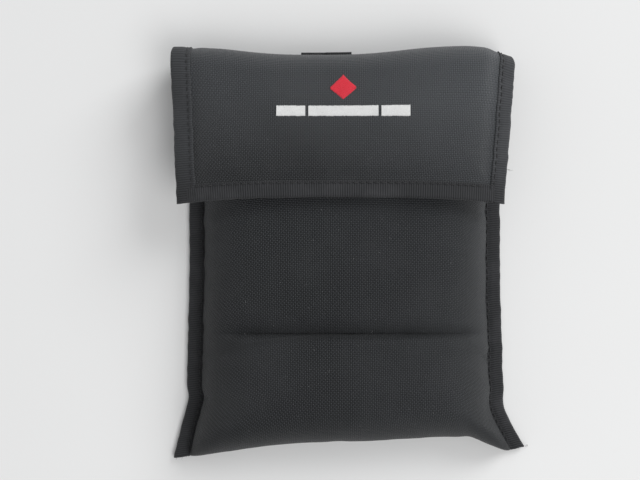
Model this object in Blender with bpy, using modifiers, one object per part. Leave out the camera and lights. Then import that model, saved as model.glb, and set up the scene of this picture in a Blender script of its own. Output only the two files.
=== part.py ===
"""Padded flap pouch: a fabric strip folded into a pouch, closed by a padded flap.

Frame: +X to the right, +Y from the folded bottom towards the mouth, +Z up from the resting face.
The origin is the middle of the footprint, on the resting face. Metres throughout.
"""
import math

import bmesh
import bpy

# ---- Overall sizes ----
OVERALL_LENGTH = 0.207      # bottom corner tips to the outer face of the mouth fold
SIDE_HALF = 0.081           # centre line to the cut side edge, along the straight sides
CORNER_HALF = 0.090         # centre line to the cut side edge at the bottom corners
FILLED_HEIGHT = 0.030       # resting face to the crown of the front
FLAP_HALF = 0.084           # half the width of the flap
FLAP_REACH = 0.070          # mouth fold to the front edge of the flap
FLAP_OFFSET = -0.004        # the flap lies a little to the left

# ---- Layers ----
SHELL = 0.0009              # outer fabric
PADDING = 0.0018            # foam sheet
LINING = 0.0005             # heat-resisting lining
BINDING = 0.0006            # binding tape, one layer
BINDING_WIDTH = 0.0075      # folded binding, edge to free leg
GAP = 0.0003                # clearance between touching pieces
LAYER_GAP = 0.00045         # clearance between the pouch's folded layers
EDGE_GAP = 0.0005           # clearance between a cut edge and the tape round it
THREAD_RADIUS = 0.00025
STITCH_INSET = 0.0012       # stitch line to the free edge of a binding or strip
THREAD_FOOT = 0.002         # corner tip to the first stitch
THREAD_CROWDING = 1.4       # how closely the stitch line's points crowd at the corner

# ---- Pouch form ----
SEAM_INSET = BINDING_WIDTH + GAP    # cut side edge to the foot of the filled wall
BOTTOM_BOW = 0.0105         # how far the filled bottom is drawn up between its corners
FLARE_LENGTH = 0.045        # length over which the sides flare to the corners
FLARE_POWER = 2.2
BOW_POWER = 2.6
BULGE_POWER = 6             # how square the filled section is
BULGE_ROUNDING = 0.6        # how round its shoulders are
NOSE_RADIUS = 0.016         # rounding of the filled bottom
NOSE_TIP_HEIGHT = 0.011     # height of the bottom's foremost line, over the side seams
NOSE_CLEARANCE = 1.8        # the layers stand this much further apart round the bottom
MOUTH_DROP = 0.002          # the front is this much lower at the mouth
MOUTH_DROP_START = 0.04     # where the front starts to fall towards the mouth
MOUTH_SETBACK = 0.001       # mouth hinge line to the cut edge of the mouth
CREASE_Y = -0.0395          # soft valley across the front
CREASE_DEPTH = 0.0018
CREASE_HALF = 0.007
CREASE_FADE = 4             # power at which the crease runs out towards the sides
FLANGE_START = 0.9          # share of the back's half width where it rises to the side seam

# ---- Closure and belt loop ----
STRIP_LENGTH = 0.100        # hook-and-loop strips
STRIP_WIDTH = 0.020
STRIP_THICKNESS = 0.0009
STRIP_EDGE_INSET = 0.012    # flap's front edge to the strips
LOOP_X = -0.010             # belt loop centre line
LOOP_WIDTH = 0.025
LOOP_LENGTH = 0.085
LOOP_THICKNESS = 0.0014
LOOP_SHOULDER = 0.006       # slope around the hollow that the strap lies in
LOOP_MARGIN = 0.001         # strap's edge to the start of that slope
BOX_STITCH = 0.016          # length of the box stitching at each end of the strap

# ---- Flap form ----
FLAP_DROOP = FILLED_HEIGHT * 4 / 15     # fall of the flap's sides, with the pouch's round shoulders
DROOP_POWER = 4
DROOP_RUN = 0.025           # length over which the sides start to fall
PINCH_RUN = 0.004           # slope from the bound edge up to the padded part

# ---- Generic embroidery ----
EMBLEM_THICKNESS = 0.0005
DIAMOND_WIDTH = 0.0136
DIAMOND_HEIGHT = 0.0150
DIAMOND_FROM_EDGE = 0.056   # flap's front edge to the diamond's centre
BAR_FROM_EDGE = 0.0415      # flap's front edge to the bars' centre line
BAR_HEIGHT = 0.0050
BAR_LENGTHS = (0.014, 0.034, 0.014)
BAR_SPACING = 0.0015

# ---- Derived heights and places ----
STACK = SHELL + GAP + PADDING + GAP + LINING
Y_CORNER = -OVERALL_LENGTH / 2
Y_FOLD_OUTER = OVERALL_LENGTH / 2
JOINT_GAP = GAP / 2
Y_HINGE = Y_FOLD_OUTER - STACK - JOINT_GAP
Y_MOUTH = Y_HINGE - MOUTH_SETBACK
Y_FLAP_FRONT = Y_HINGE - FLAP_REACH
Z_BACK = SHELL / 2
Z_FLANGE_BACK = BINDING + GAP + SHELL / 2
Z_FLANGE_FRONT = Z_FLANGE_BACK + SHELL + GAP
Z_FLANGE_MID = (Z_FLANGE_BACK + Z_FLANGE_FRONT) / 2
Z_CROWN = FILLED_HEIGHT - SHELL / 2
FOLD_RADIUS = (Z_FLANGE_FRONT - Z_FLANGE_BACK) / 2
Z_BINDING_TOP = Z_FLANGE_FRONT + SHELL / 2 + GAP + BINDING
Z_HINGE_BACK = STACK + JOINT_GAP
Z_HINGE_FRONT = FILLED_HEIGHT + 2 * (GAP + STRIP_THICKNESS) + GAP - JOINT_GAP
PADDING_INSET = SHELL / 2 + LAYER_GAP + PADDING / 2
LINING_INSET = PADDING_INSET + PADDING / 2 + LAYER_GAP + LINING / 2
LOOP_LIFT = 2 * THREAD_RADIUS + GAP
LOOP_HOLLOW = LOOP_LIFT + LOOP_THICKNESS + GAP
Y_LOOP_END = Y_HINGE - GAP
Y_LOOP_START = Y_LOOP_END - LOOP_LENGTH
Y_STRIP_LOW = Y_FLAP_FRONT + STRIP_EDGE_INSET

WALL_STEPS = 10
WALL_CROWDING = 2.2         # how closely the columns crowd towards the side walls
COLUMN_SPACING = 0.03       # least distance between columns, as a share of half the width
PADDED_STEP = 7             # padding and lining stop this many wall steps out
NOSE_STEPS = 5
FLAP_STEPS = 6


def clear_scene():
    """Remove every object, and make the collection that holds the parts."""
    for old in list(bpy.data.objects):
        bpy.data.objects.remove(old)
    collection = bpy.data.collections.new("flap_pouch")
    bpy.context.scene.collection.children.link(collection)
    return collection


def material(name, colour, roughness):
    """A plain Principled material."""
    made = bpy.data.materials.new(name)
    made.use_nodes = True
    shader = made.node_tree.nodes["Principled BSDF"]
    shader.inputs["Base Color"].default_value = (*colour, 1.0)
    shader.inputs["Roughness"].default_value = roughness
    shader.inputs["Metallic"].default_value = 0.0
    return made


NYLON = ((0.045, 0.048, 0.052), 0.72)
TAPE = ((0.040, 0.041, 0.044), 0.80)
FOAM = ((0.180, 0.180, 0.175), 0.95)
CLOTH = ((0.420, 0.410, 0.380), 0.85)
WEBBING = ((0.030, 0.031, 0.033), 0.75)
HOOKS = ((0.025, 0.025, 0.027), 0.60)
PILE = ((0.028, 0.028, 0.030), 0.95)
COTTON = ((0.022, 0.022, 0.024), 0.70)
RED_THREAD = ((0.780, 0.045, 0.060), 0.45)
WHITE_THREAD = ((0.820, 0.820, 0.800), 0.45)


def smooth(t):
    """Ease from 0 to 1."""
    t = min(max(t, 0.0), 1.0)
    return t * t * (3.0 - 2.0 * t)


def evenly(low, high, steps):
    """Values from low to high in equal steps, both ends included."""
    return [low + (high - low) * k / steps for k in range(steps + 1)]


def place(obj, name, finish, collection):
    """Name an object, give it its own material and put it with the parts."""
    obj.name = name
    obj.data.materials.append(material(name, *finish))
    for holder in list(obj.users_collection):
        holder.objects.unlink(obj)
    collection.objects.link(obj)
    return obj


def sheet(name, surface, across, along, thickness, finish, collection):
    """A sheet of even thickness around surface(a, b), from a flat grid."""
    columns = len(across) - 1
    rows = len(along) - 1
    grid = bmesh.new()
    bmesh.ops.create_grid(grid, x_segments=columns, y_segments=rows, size=0.5)
    for vertex in grid.verts:
        column = round((vertex.co.x + 0.5) * columns)
        row = round((vertex.co.y + 0.5) * rows)
        vertex.co = surface(across[column], along[row])
    bmesh.ops.recalc_face_normals(grid, faces=grid.faces)
    mesh = bpy.data.meshes.new(name)
    grid.to_mesh(mesh)
    grid.free()
    mesh.shade_smooth()
    obj = bpy.data.objects.new(name, mesh)
    solidify = obj.modifiers.new("thickness", "SOLIDIFY")
    solidify.thickness = thickness
    solidify.offset = 0.0
    solidify.use_even_offset = True
    return place(obj, name, finish, collection)


def thread(name, points, collection, closed=False):
    """A sewing thread lying along points."""
    curve = bpy.data.curves.new(name, "CURVE")
    curve.dimensions = "3D"
    curve.bevel_depth = THREAD_RADIUS
    curve.bevel_resolution = 1
    curve.use_fill_caps = not closed
    spline = curve.splines.new("POLY")
    spline.points.add(len(points) - 1)
    for slot, point in zip(spline.points, points):
        slot.co = (*point, 1.0)
    spline.use_cyclic_u = closed
    obj = bpy.data.objects.new(name, curve)
    return place(obj, name, COTTON, collection)


# ---- Pouch surface ----

def edge_half(y):
    """Half the width between the cut side edges."""
    t = max((Y_CORNER + FLARE_LENGTH - y) / FLARE_LENGTH, 0.0)
    return SIDE_HALF + (CORNER_HALF - SIDE_HALF) * t ** FLARE_POWER


def bottom_y(x):
    """Bottom fold: the corners reach lowest, the filled middle is drawn up."""
    return Y_CORNER + BOTTOM_BOW * (1.0 - min(abs(x) / CORNER_HALF, 1.0) ** BOW_POWER)


def bulge(s):
    """Share of the filled height at s, 0 on the centre line and 1 at the side seam."""
    return (1.0 - min(abs(s), 1.0) ** BULGE_POWER) ** BULGE_ROUNDING


def crown(s, y):
    """Height of the middle of the front fabric over the side seams, at full bulge."""
    drop = MOUTH_DROP * smooth((y - MOUTH_DROP_START) / (Y_MOUTH - MOUTH_DROP_START))
    valley = CREASE_DEPTH * math.exp(-((y - CREASE_Y) / CREASE_HALF) ** 2)
    return Z_CROWN - Z_FLANGE_FRONT - drop - valley * (1.0 - abs(s) ** CREASE_FADE)


def loop_hollow(x, y):
    """Rise of the back over the belt loop."""
    beside = 1.0 - smooth((abs(x - LOOP_X) - LOOP_WIDTH / 2 - LOOP_MARGIN) / LOOP_SHOULDER)
    below = smooth((y - Y_LOOP_START + LOOP_MARGIN + LOOP_SHOULDER) / LOOP_SHOULDER)
    return LOOP_HOLLOW * beside * below


def across_x(s, y, inset):
    """Distance from the centre line; |s| over 1 runs out along the side flange."""
    seam = edge_half(y) - SEAM_INSET
    share = min(abs(s), 1.0)
    wall = share * seam - inset * share ** 4
    flange = max(abs(s) - 1.0, 0.0) * SEAM_INSET
    return math.copysign(wall + flange, s)


def front_point(s, y, inset=0.0):
    """Point of the front layer that lies inset below the middle of the outer fabric."""
    height = Z_FLANGE_FRONT + (crown(s, y) - inset) * bulge(s)
    if abs(s) > 1.0:
        height = Z_FLANGE_FRONT
    return (across_x(s, y, inset), y, height)


def back_point(s, y, inset=0.0):
    """Point of the back layer that lies inset above the middle of the outer fabric."""
    x = across_x(s, y, inset)
    rise = (Z_FLANGE_BACK - Z_BACK) * smooth((abs(s) - FLANGE_START) / (1.0 - FLANGE_START))
    height = Z_BACK + rise + loop_hollow(across_x(s, y, 0.0), y)
    if abs(s) <= 1.0:
        height += inset
    return (x, y, height)


def nose_run(s):
    """Length of the rounded bottom at s, measured along Y."""
    if abs(s) >= 1.0:
        return FOLD_RADIUS
    return FOLD_RADIUS + NOSE_RADIUS * bulge(s)


def strip_point(s, stage, inset=0.0):
    """Point along the folded strip: ('back', y), ('nose', angle) or ('front', y)."""
    part, value = stage
    edge = min(abs(s), 1.0) * (CORNER_HALF - SEAM_INSET) + max(abs(s) - 1.0, 0.0) * SEAM_INSET
    tip = bottom_y(edge)
    start = tip + nose_run(s)
    if part != "nose":
        stretch = (Y_MOUTH - start) / (Y_MOUTH - Y_NOSE_END)
        y = start + (value - Y_NOSE_END) * stretch
        return front_point(s, y, inset) if part == "front" else back_point(s, y, inset)
    front = front_point(s, start, inset)
    back = back_point(s, start, inset)
    lift = NOSE_TIP_HEIGHT * bulge(s) if abs(s) < 1.0 else 0.0
    middle = Z_FLANGE_MID + lift
    reach = nose_run(s) - (NOSE_CLEARANCE * inset if abs(s) < 1.0 else 0.0)
    y = start - reach * math.cos(value)
    x = across_x(s, y, inset)
    if value >= 0.0:
        return (x, y, middle + (front[2] - middle) * math.sin(value))
    return (x, y, middle + (middle - back[2]) * math.sin(value))


Y_NOSE_END = Y_CORNER + BOTTOM_BOW + FOLD_RADIUS + NOSE_RADIUS
LOOP_COLUMNS = [
    (LOOP_X + side * (LOOP_WIDTH / 2 + LOOP_MARGIN + out)) / (SIDE_HALF - SEAM_INSET)
    for side in (-1, 1)
    for out in (0.0, LOOP_SHOULDER)
]


def wall_columns(last_step):
    """Values of s, closer together towards the side walls."""
    half = [1.0 - (1.0 - k / WALL_STEPS) ** WALL_CROWDING for k in range(1, last_step + 1)]
    spread = [-value for value in half] + [0.0] + half
    kept = [value for value in spread if min(abs(value - n) for n in LOOP_COLUMNS) > COLUMN_SPACING]
    return sorted(kept + LOOP_COLUMNS)


def lower_rows():
    """Rows of the panels between the rounded bottom and the crease."""
    return evenly(Y_NOSE_END, CREASE_Y - 2.0 * CREASE_HALF, 5)


def front_rows(front_end):
    """Rows of the front, closer together across the crease."""
    crease = [CREASE_Y + CREASE_HALF * k for k in (-1.0, 0.0, 1.0, 2.0)]
    return lower_rows() + crease + evenly(crease[-1], front_end, 4)[1:]


def strip_stages(front_end, back_end):
    """Rows of the folded strip, from the back's mouth edge round to the front's."""
    hollow_start = Y_LOOP_START - LOOP_MARGIN
    halfway = (back_end + hollow_start) / 2
    back = [back_end, halfway, hollow_start, hollow_start - LOOP_SHOULDER, CREASE_Y]
    back += reversed(lower_rows())
    nose = [math.pi * (k / NOSE_STEPS - 0.5) for k in range(1, NOSE_STEPS)]
    stages = [("back", y) for y in back] + [("nose", angle) for angle in nose]
    return stages + [("front", y) for y in front_rows(front_end)]


def pouch_layers(collection):
    """Outer fabric, foam and lining: three strips folded at the bottom."""
    cut_edges = [-2.0, -1.5, -1.0]
    shell_columns = cut_edges + wall_columns(WALL_STEPS - 1) + [1.0, 1.5, 2.0]
    front_end = Y_MOUTH - BINDING - GAP
    back_end = Y_HINGE - JOINT_GAP
    layers = (
        ("outer_shell", 0.0, SHELL, NYLON, shell_columns, front_end),
        ("shell_padding", PADDING_INSET, PADDING, FOAM, wall_columns(PADDED_STEP), front_end - GAP),
        ("shell_lining", LINING_INSET, LINING, CLOTH, wall_columns(PADDED_STEP), front_end),
    )
    for name, inset, thickness, finish, columns, end in layers:
        sheet(name, lambda s, stage: strip_point(s, stage, inset), columns,
              strip_stages(end, back_end), thickness, finish, collection)


def side_binding(name, side, collection):
    """Tape folded round one side seam, from the bottom corner to the mouth."""
    outer = EDGE_GAP + BINDING / 2
    inner = BINDING + EDGE_GAP - BINDING_WIDTH
    low = BINDING / 2
    high = Z_BINDING_TOP - BINDING / 2
    section = ((inner, high), (outer, high), (outer, low), (inner, low))

    def tape(corner, y):
        out, z = section[corner]
        return (side * (edge_half(y) + out), y, z)

    rows = [Y_CORNER] + [strip_point(2.0, ("front", y))[1] for y in front_rows(Y_MOUTH)]
    sheet(name, tape, (0, 1, 2, 3), rows, BINDING, TAPE, collection)


def side_thread(name, side, collection):
    """Stitch line along a side binding."""
    out = BINDING + EDGE_GAP - BINDING_WIDTH + STITCH_INSET
    z = Z_BINDING_TOP + GAP + THREAD_RADIUS
    foot = Y_CORNER + THREAD_FOOT
    rows = [foot + (Y_MOUTH - foot) * t ** THREAD_CROWDING for t in evenly(0.0, 1.0, 12)]
    thread(name, [(side * (edge_half(y) + out), y, z) for y in rows], collection)


def mouth_binding(collection):
    """Tape folded over the mouth edge of the front wall, and its stitch line."""
    outside = -(SHELL / 2 + GAP + BINDING / 2)
    inside = LINING_INSET + LINING / 2 + GAP + BINDING / 2
    end = Y_MOUTH - BINDING / 2
    start = Y_MOUTH - BINDING_WIDTH
    section = ((outside, start), (outside, end), (inside, end), (inside, start))

    def tape(s, corner):
        inset, y = section[corner]
        return front_point(s, y, inset)

    columns = wall_columns(PADDED_STEP)
    sheet("mouth_binding", tape, columns, (0, 1, 2, 3), BINDING, TAPE, collection)
    over = outside - BINDING / 2 - GAP - THREAD_RADIUS
    thread("mouth_thread", [front_point(s, start + STITCH_INSET, over) for s in columns], collection)


def rectangle(x_low, x_high, y_low, y_high, steps):
    """Corners and side points of a rectangle, in order."""
    bottom = [(x, y_low) for x in evenly(x_low, x_high, steps)]
    top = [(x, y_high) for x in evenly(x_high, x_low, steps)]
    return bottom + top


def loop_strip(collection):
    """Soft half of the closure, sewn on the front under the flap."""
    seam = SIDE_HALF - SEAM_INSET
    middle = -(SHELL / 2 + GAP + STRIP_THICKNESS / 2)
    left = (FLAP_OFFSET - STRIP_LENGTH / 2) / seam
    right = (FLAP_OFFSET + STRIP_LENGTH / 2) / seam
    inner = [s for s in wall_columns(WALL_STEPS - 1)
             if left + COLUMN_SPACING / 3 < s < right - COLUMN_SPACING / 3]
    sheet("loop_strip", lambda s, y: front_point(s, y, middle), [left] + inner + [right],
          evenly(Y_STRIP_LOW, Y_STRIP_LOW + STRIP_WIDTH, 2), STRIP_THICKNESS, PILE, collection)


def belt_loop(collection):
    """Webbing strap along the back, box-stitched at both ends."""
    middle = LOOP_LIFT + LOOP_THICKNESS / 2
    left = LOOP_X - LOOP_WIDTH / 2
    right = LOOP_X + LOOP_WIDTH / 2
    sheet("belt_loop", lambda x, y: (x, y, middle), evenly(left, right, 2),
          evenly(Y_LOOP_START, Y_LOOP_END, 6), LOOP_THICKNESS, WEBBING, collection)
    low_edge = Y_LOOP_START + 2 * STITCH_INSET
    high_edge = Y_LOOP_END - 2 * STITCH_INSET
    boxes = (
        ("belt_loop_lower_thread", low_edge, low_edge + BOX_STITCH),
        ("belt_loop_upper_thread", high_edge - BOX_STITCH, high_edge),
    )
    for name, low, high in boxes:
        outline = rectangle(left + 2 * STITCH_INSET, right - 2 * STITCH_INSET, low, high, 1)
        thread(name, [(x, y, THREAD_RADIUS) for x, y in outline], collection, closed=True)


# ---- Flap and bridge: one padded strip, split at the front fold of the mouth ----

def pinched(depth, edge_distance):
    """Level in the padded stack; near a bound edge the layers close up."""
    middle = (STACK - SHELL / 2 + LINING / 2) / 2
    kept = (SHELL / 2 + GAP + LINING / 2) / (STACK - SHELL / 2 - LINING / 2)
    pinch = smooth((edge_distance - BINDING_WIDTH - GAP) / PINCH_RUN)
    return middle + (depth - middle) * (kept + (1.0 - kept) * pinch)


def flap_point(x, y, depth):
    """Point of the flap at depth above its underside."""
    out = abs(x - FLAP_OFFSET) / FLAP_HALF
    droop = FLAP_DROOP * out ** DROOP_POWER * smooth((Y_HINGE - y) / DROOP_RUN)
    return (x, y, Z_HINGE_FRONT + JOINT_GAP + depth - droop)


def bridge_point(x, z, depth):
    """Point of the bridge at depth outside its inner face."""
    return (x, Y_HINGE + JOINT_GAP + depth, z)


def side_distance(x):
    """Distance from the nearer side edge of the flap strip."""
    return FLAP_HALF - abs(x - FLAP_OFFSET)


def flap_columns(first):
    """X positions across the flap strip, from first inside each side edge."""
    rise = BINDING_WIDTH + GAP
    near = [d for d in (0.0, rise, rise + PINCH_RUN) if d >= first - 1e-6] or [first]
    left = [FLAP_OFFSET - FLAP_HALF + d for d in near]
    right = [FLAP_OFFSET + FLAP_HALF - d for d in reversed(near)]
    return left + evenly(left[-1], right[0], 8)[1:-1] + right


def flap_rows(front):
    """Y positions along the flap, from front to the hinge."""
    rise = Y_FLAP_FRONT + BINDING_WIDTH + GAP
    return [front, rise] + evenly(rise + PINCH_RUN, Y_HINGE - JOINT_GAP, FLAP_STEPS)


def flap_layers(collection):
    """Outer fabric, foam and lining of the flap and of the bridge."""
    foam_in = BINDING_WIDTH + GAP + PINCH_RUN + GAP
    rows = flap_rows(Y_FLAP_FRONT)
    foam_rows = [Y_FLAP_FRONT + foam_in] + rows[3:]
    z_rows = evenly(Z_HINGE_BACK + JOINT_GAP, Z_HINGE_FRONT - JOINT_GAP, 2)
    layers = (
        ("panel", STACK - SHELL / 2, SHELL, NYLON, flap_columns(0.0), rows),
        ("padding", LINING + GAP + PADDING / 2, PADDING, FOAM, flap_columns(foam_in), foam_rows),
        ("lining", LINING / 2, LINING, CLOTH, flap_columns(0.0), rows),
    )
    for name, depth, thickness, finish, columns, y_rows in layers:

        def on_flap(x, y):
            return flap_point(x, y, pinched(depth, min(side_distance(x), y - Y_FLAP_FRONT)))

        def on_bridge(x, z):
            return bridge_point(x, z, pinched(depth, side_distance(x)))

        sheet("flap_" + name, on_flap, columns, y_rows, thickness, finish, collection)
        sheet("bridge_" + name, on_bridge, columns, z_rows, thickness, finish, collection)


def flap_bindings(collection):
    """Tapes folded round the free edges of the flap and the bridge's sides."""
    out = EDGE_GAP + BINDING / 2
    inner = BINDING + EDGE_GAP - BINDING_WIDTH
    low = pinched(LINING / 2, 0.0) - LINING / 2 - GAP - BINDING / 2
    high = pinched(STACK - SHELL / 2, 0.0) + SHELL / 2 + GAP + BINDING / 2
    section = ((inner, high), (out, high), (out, low), (inner, low))
    y_rows = flap_rows(Y_FLAP_FRONT - out)
    z_rows = evenly(Z_HINGE_BACK + JOINT_GAP, Z_HINGE_FRONT - JOINT_GAP, 1)
    for word, side in (("left", -1), ("right", 1)):

        def on_flap(corner, y):
            beyond, depth = section[corner]
            x = FLAP_OFFSET + side * (FLAP_HALF + beyond)
            edge = flap_point(FLAP_OFFSET + side * (FLAP_HALF - BINDING_WIDTH), y, depth)
            rim = flap_point(FLAP_OFFSET + side * FLAP_HALF, y, depth)
            share = (beyond + BINDING_WIDTH) / BINDING_WIDTH
            return (x, y, edge[2] + (rim[2] - edge[2]) * share)

        def on_bridge(corner, z):
            beyond, depth = section[corner]
            return bridge_point(FLAP_OFFSET + side * (FLAP_HALF + beyond), z, depth)

        sheet(f"flap_{word}_binding", on_flap, (0, 1, 2, 3), y_rows, BINDING, TAPE, collection)
        sheet(f"bridge_{word}_binding", on_bridge, (0, 1, 2, 3), z_rows, BINDING, TAPE, collection)
    reach = FLAP_HALF - BINDING_WIDTH - GAP

    def on_front(x, corner):
        beyond, depth = section[corner]
        return flap_point(x, Y_FLAP_FRONT - beyond, depth)

    sheet("flap_front_binding", on_front, evenly(FLAP_OFFSET - reach, FLAP_OFFSET + reach, 10),
          (0, 1, 2, 3), BINDING, TAPE, collection)


def flap_threads(collection):
    """Stitch line round the flap's bound edges, and one up each side of the bridge."""
    level = pinched(STACK - SHELL / 2, 0.0) + SHELL / 2 + GAP + BINDING + GAP + THREAD_RADIUS
    inset = BINDING_WIDTH - BINDING - EDGE_GAP - STITCH_INSET
    left = FLAP_OFFSET - FLAP_HALF + inset
    right = FLAP_OFFSET + FLAP_HALF - inset
    front = Y_FLAP_FRONT + inset
    top = Y_HINGE - JOINT_GAP
    route = [(left, y) for y in evenly(top, front, 6)]
    route += [(x, front) for x in evenly(left, right, 10)[1:]]
    route += [(right, y) for y in evenly(front, top, 6)[1:]]
    thread("flap_thread", [flap_point(x, y, level) for x, y in route], collection)
    for word, x in (("left", left), ("right", right)):
        ends = (Z_HINGE_BACK + JOINT_GAP, Z_HINGE_FRONT - JOINT_GAP)
        thread(f"bridge_{word}_thread", [bridge_point(x, z, level) for z in ends], collection)


def hook_strip(collection):
    """Stiff half of the closure, sewn under the flap."""
    left = FLAP_OFFSET - STRIP_LENGTH / 2
    right = FLAP_OFFSET + STRIP_LENGTH / 2
    depth = -(GAP + STRIP_THICKNESS / 2)
    sheet("hook_strip", lambda x, y: flap_point(x, y, depth), evenly(left, right, 6),
          evenly(Y_STRIP_LOW, Y_STRIP_LOW + STRIP_WIDTH, 2), STRIP_THICKNESS, HOOKS, collection)


def emblem(collection):
    """Plain embroidered diamond over three bars."""
    depth = STACK + GAP + EMBLEM_THICKNESS / 2
    y_diamond = Y_FLAP_FRONT + DIAMOND_FROM_EDGE

    def diamond(a, b):
        x = FLAP_OFFSET + (a + b) * DIAMOND_WIDTH / 4
        y = y_diamond + (a - b) * DIAMOND_HEIGHT / 4
        return flap_point(x, y, depth)

    sheet("emblem_diamond", diamond, (-1, 1), (-1, 1), EMBLEM_THICKNESS, RED_THREAD, collection)
    y_bar = Y_FLAP_FRONT + BAR_FROM_EDGE
    x = FLAP_OFFSET - (sum(BAR_LENGTHS) + BAR_SPACING * (len(BAR_LENGTHS) - 1)) / 2
    for word, length in zip(("left", "middle", "right"), BAR_LENGTHS):
        sheet(f"emblem_{word}_bar", lambda a, b: flap_point(a, b, depth), evenly(x, x + length, 2),
              (y_bar - BAR_HEIGHT / 2, y_bar + BAR_HEIGHT / 2), EMBLEM_THICKNESS, WHITE_THREAD,
              collection)
        x += length + BAR_SPACING


def build():
    """Make every part of the pouch."""
    collection = clear_scene()
    pouch_layers(collection)
    for word, side in (("left", -1), ("right", 1)):
        side_binding(f"{word}_side_binding", side, collection)
        side_thread(f"{word}_side_thread", side, collection)
    mouth_binding(collection)
    loop_strip(collection)
    belt_loop(collection)
    flap_layers(collection)
    flap_bindings(collection)
    flap_threads(collection)
    hook_strip(collection)
    emblem(collection)


build()
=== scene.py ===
import math
import random

import bpy
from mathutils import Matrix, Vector, noise


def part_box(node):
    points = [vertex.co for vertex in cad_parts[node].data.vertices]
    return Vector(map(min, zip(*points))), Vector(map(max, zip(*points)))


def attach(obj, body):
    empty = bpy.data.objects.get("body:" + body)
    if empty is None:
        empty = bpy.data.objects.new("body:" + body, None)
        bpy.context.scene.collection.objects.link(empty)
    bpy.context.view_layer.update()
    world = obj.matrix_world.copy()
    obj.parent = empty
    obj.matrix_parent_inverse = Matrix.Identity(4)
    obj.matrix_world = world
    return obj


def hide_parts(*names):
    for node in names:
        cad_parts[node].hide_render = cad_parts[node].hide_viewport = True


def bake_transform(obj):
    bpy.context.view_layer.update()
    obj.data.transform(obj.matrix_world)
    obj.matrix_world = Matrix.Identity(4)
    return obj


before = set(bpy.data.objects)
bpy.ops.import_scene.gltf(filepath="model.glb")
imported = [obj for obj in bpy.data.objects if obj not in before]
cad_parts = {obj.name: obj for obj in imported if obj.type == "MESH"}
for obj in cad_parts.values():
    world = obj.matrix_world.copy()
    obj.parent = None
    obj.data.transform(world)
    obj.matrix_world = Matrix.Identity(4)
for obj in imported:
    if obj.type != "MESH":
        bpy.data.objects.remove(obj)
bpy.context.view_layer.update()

MM = 0.001
rng = random.Random(7)

# ---- Sizes read from the frame ----
shell_low, shell_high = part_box("outer_shell")
flap_low, flap_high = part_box("flap_panel")
bridge_low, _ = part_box("bridge_lining")
strap_low, strap_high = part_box("belt_loop")
diamond_low, diamond_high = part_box("emblem_diamond")
hook_low, hook_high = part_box("hook_strip")

# ---- Thicknesses, and depths below the outer fabric ----
SHELL = 0.9 * MM
PADDING = 1.8 * MM
LINING = 0.5 * MM
TAPE = 0.6 * MM
PILE_TAPE = 0.7 * MM
HOOK_TAPE = 0.5 * MM
STRAP = 1.3 * MM
STACK = 3.8 * MM
PADDING_INSET = 1.8 * MM
LINING_INSET = 3.4 * MM

# ---- Pouch form ----
Y_CORNER = shell_low[1]
Y_MOUTH = shell_high[1] - 1.0 * MM
Y_FOLD = shell_high[1]
SIDE_HALF = 81.0 * MM
SEAM_INSET = 7.8 * MM
LEFT_CORNER = 87.6 * MM
RIGHT_CORNER = 95.3 * MM
Z_TOP = shell_high[2] - SHELL / 2
Z_FLANGE_BACK = 1.35 * MM
Z_FLANGE_FRONT = 2.55 * MM
# The cut side edges: each flares out to its corner, nips in above the flare and draws in towards the mouth.
LEFT_FLARE_RUN = 34.0 * MM
RIGHT_FLARE_RUN = 30.0 * MM
FLARE_POWER = 1.5
NIP_DEPTH = 0.9 * MM
NIP_SPAN = 6.0 * MM
NIP_SHARE = 0.86
LEFT_DRAW_IN = 1.4 * MM
RIGHT_DRAW_IN = 2.1 * MM
DRAW_IN_START = -78.0 * MM
DRAW_IN_RUN = 66.0 * MM
# The bottom fold: a bow between the corners, lower beside the left one, and high then steep at the right.
BOTTOM_BOW = 10.5 * MM
BOW_POWER = 1.9
LEFT_HEEL = 1.2 * MM
RIGHT_RISE = 2.2 * MM
RIGHT_FALL = 8.2 * MM
RIGHT_TOE = 1.2 * MM
# The thickness: a round nose at the bottom, walls that belly out, and a front that sinks at the mouth.
NOSE_RADIUS = 16.0 * MM
NOSE_TIP_HEIGHT = 11.0 * MM
BULGE_POWER = 6
BULGE_ROUNDING = 0.6
BELLY = 1.5 * MM
MOUTH_DROP = 2.8 * MM
MOUTH_DROP_START = 40.0 * MM
MOUTH_DRAW_IN = 0.5 * MM
# The crease across the front: a steep lower lip, a softer upper one, and a wide shallow hollow.
CREASE_Y = -38.8 * MM
CREASE_DEPTH = 6.0 * MM
CREASE_ABOVE = 4.6 * MM
CREASE_BELOW = 1.5 * MM
CREASE_SPREAD = 22.0 * MM
CREASE_HOLLOW = 0.8 * MM
# The back, which lies on the table with the belt strap under it.
STRAP_HOLLOW = 2.2 * MM
BACK_SAG = 0.25 * MM

# ---- Flap strip form ----
Z_BACK_INNER = STACK
INNER_CORNER = 1.2 * MM
OUTER_CORNER = 6.0 * MM
Y_BRIDGE = bridge_low[1]
Z_FLAP = flap_high[2] - STACK
Y_FLAP_FRONT = flap_low[1]
BACK_RUN = 9.0 * MM
# The flap: how far its sides hang, where it lies, and how the fold's middle is drawn in.
FLAP_DROOP = 8.5 * MM
DROOP_POWER = 4.5
FLAP_SHIFT = 1.8 * MM
FLAP_CENTRE = (flap_low[0] + flap_high[0]) / 2 + FLAP_SHIFT
FOLD_DIP = 4.6 * MM
# Its width at the fold, and how much narrower it is at the front edge.
FOLD_HALF_LEFT = 83.0 * MM
FOLD_HALF_RIGHT = 84.4 * MM
LEFT_TAPER = 2.6 * MM
RIGHT_TAPER = 5.4 * MM
# Its padding: pinched to this share of its thickness at the taped edges, puffed up inside them.
EDGE_PINCH = 0.46
PINCH_START = 8.2 * MM
PUFF = 0.9 * MM
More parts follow.
